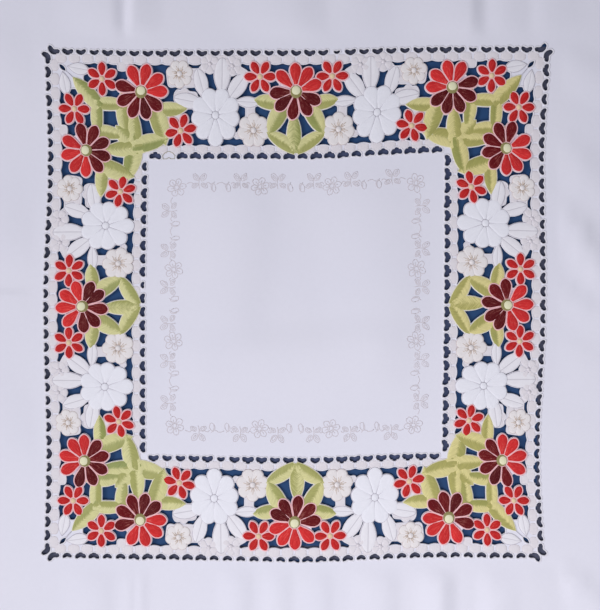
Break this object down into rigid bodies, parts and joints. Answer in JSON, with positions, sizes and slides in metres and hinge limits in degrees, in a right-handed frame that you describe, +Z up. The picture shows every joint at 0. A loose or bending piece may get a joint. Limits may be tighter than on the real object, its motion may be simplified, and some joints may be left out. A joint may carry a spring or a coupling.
{
  "type": "embroidered tablecloth",
  "caption": "Square white tablecloth lying flat, with a square band of cutwork: stitched red flowers, green leaves and white flowers.",
  "frame": {"origin": "on the surface under the middle of the cloth", "axes": "+Z up out of the cloth's face, +X to the right and +Y to the top as it is looked at from above"},
  "size_m": [0.85, 0.85, 0.009],
  "materials": {
    "linen": "matt"
  },
  "bodies": {
    "root": {"cloth": "linen"}
  },
  "joints": []
}
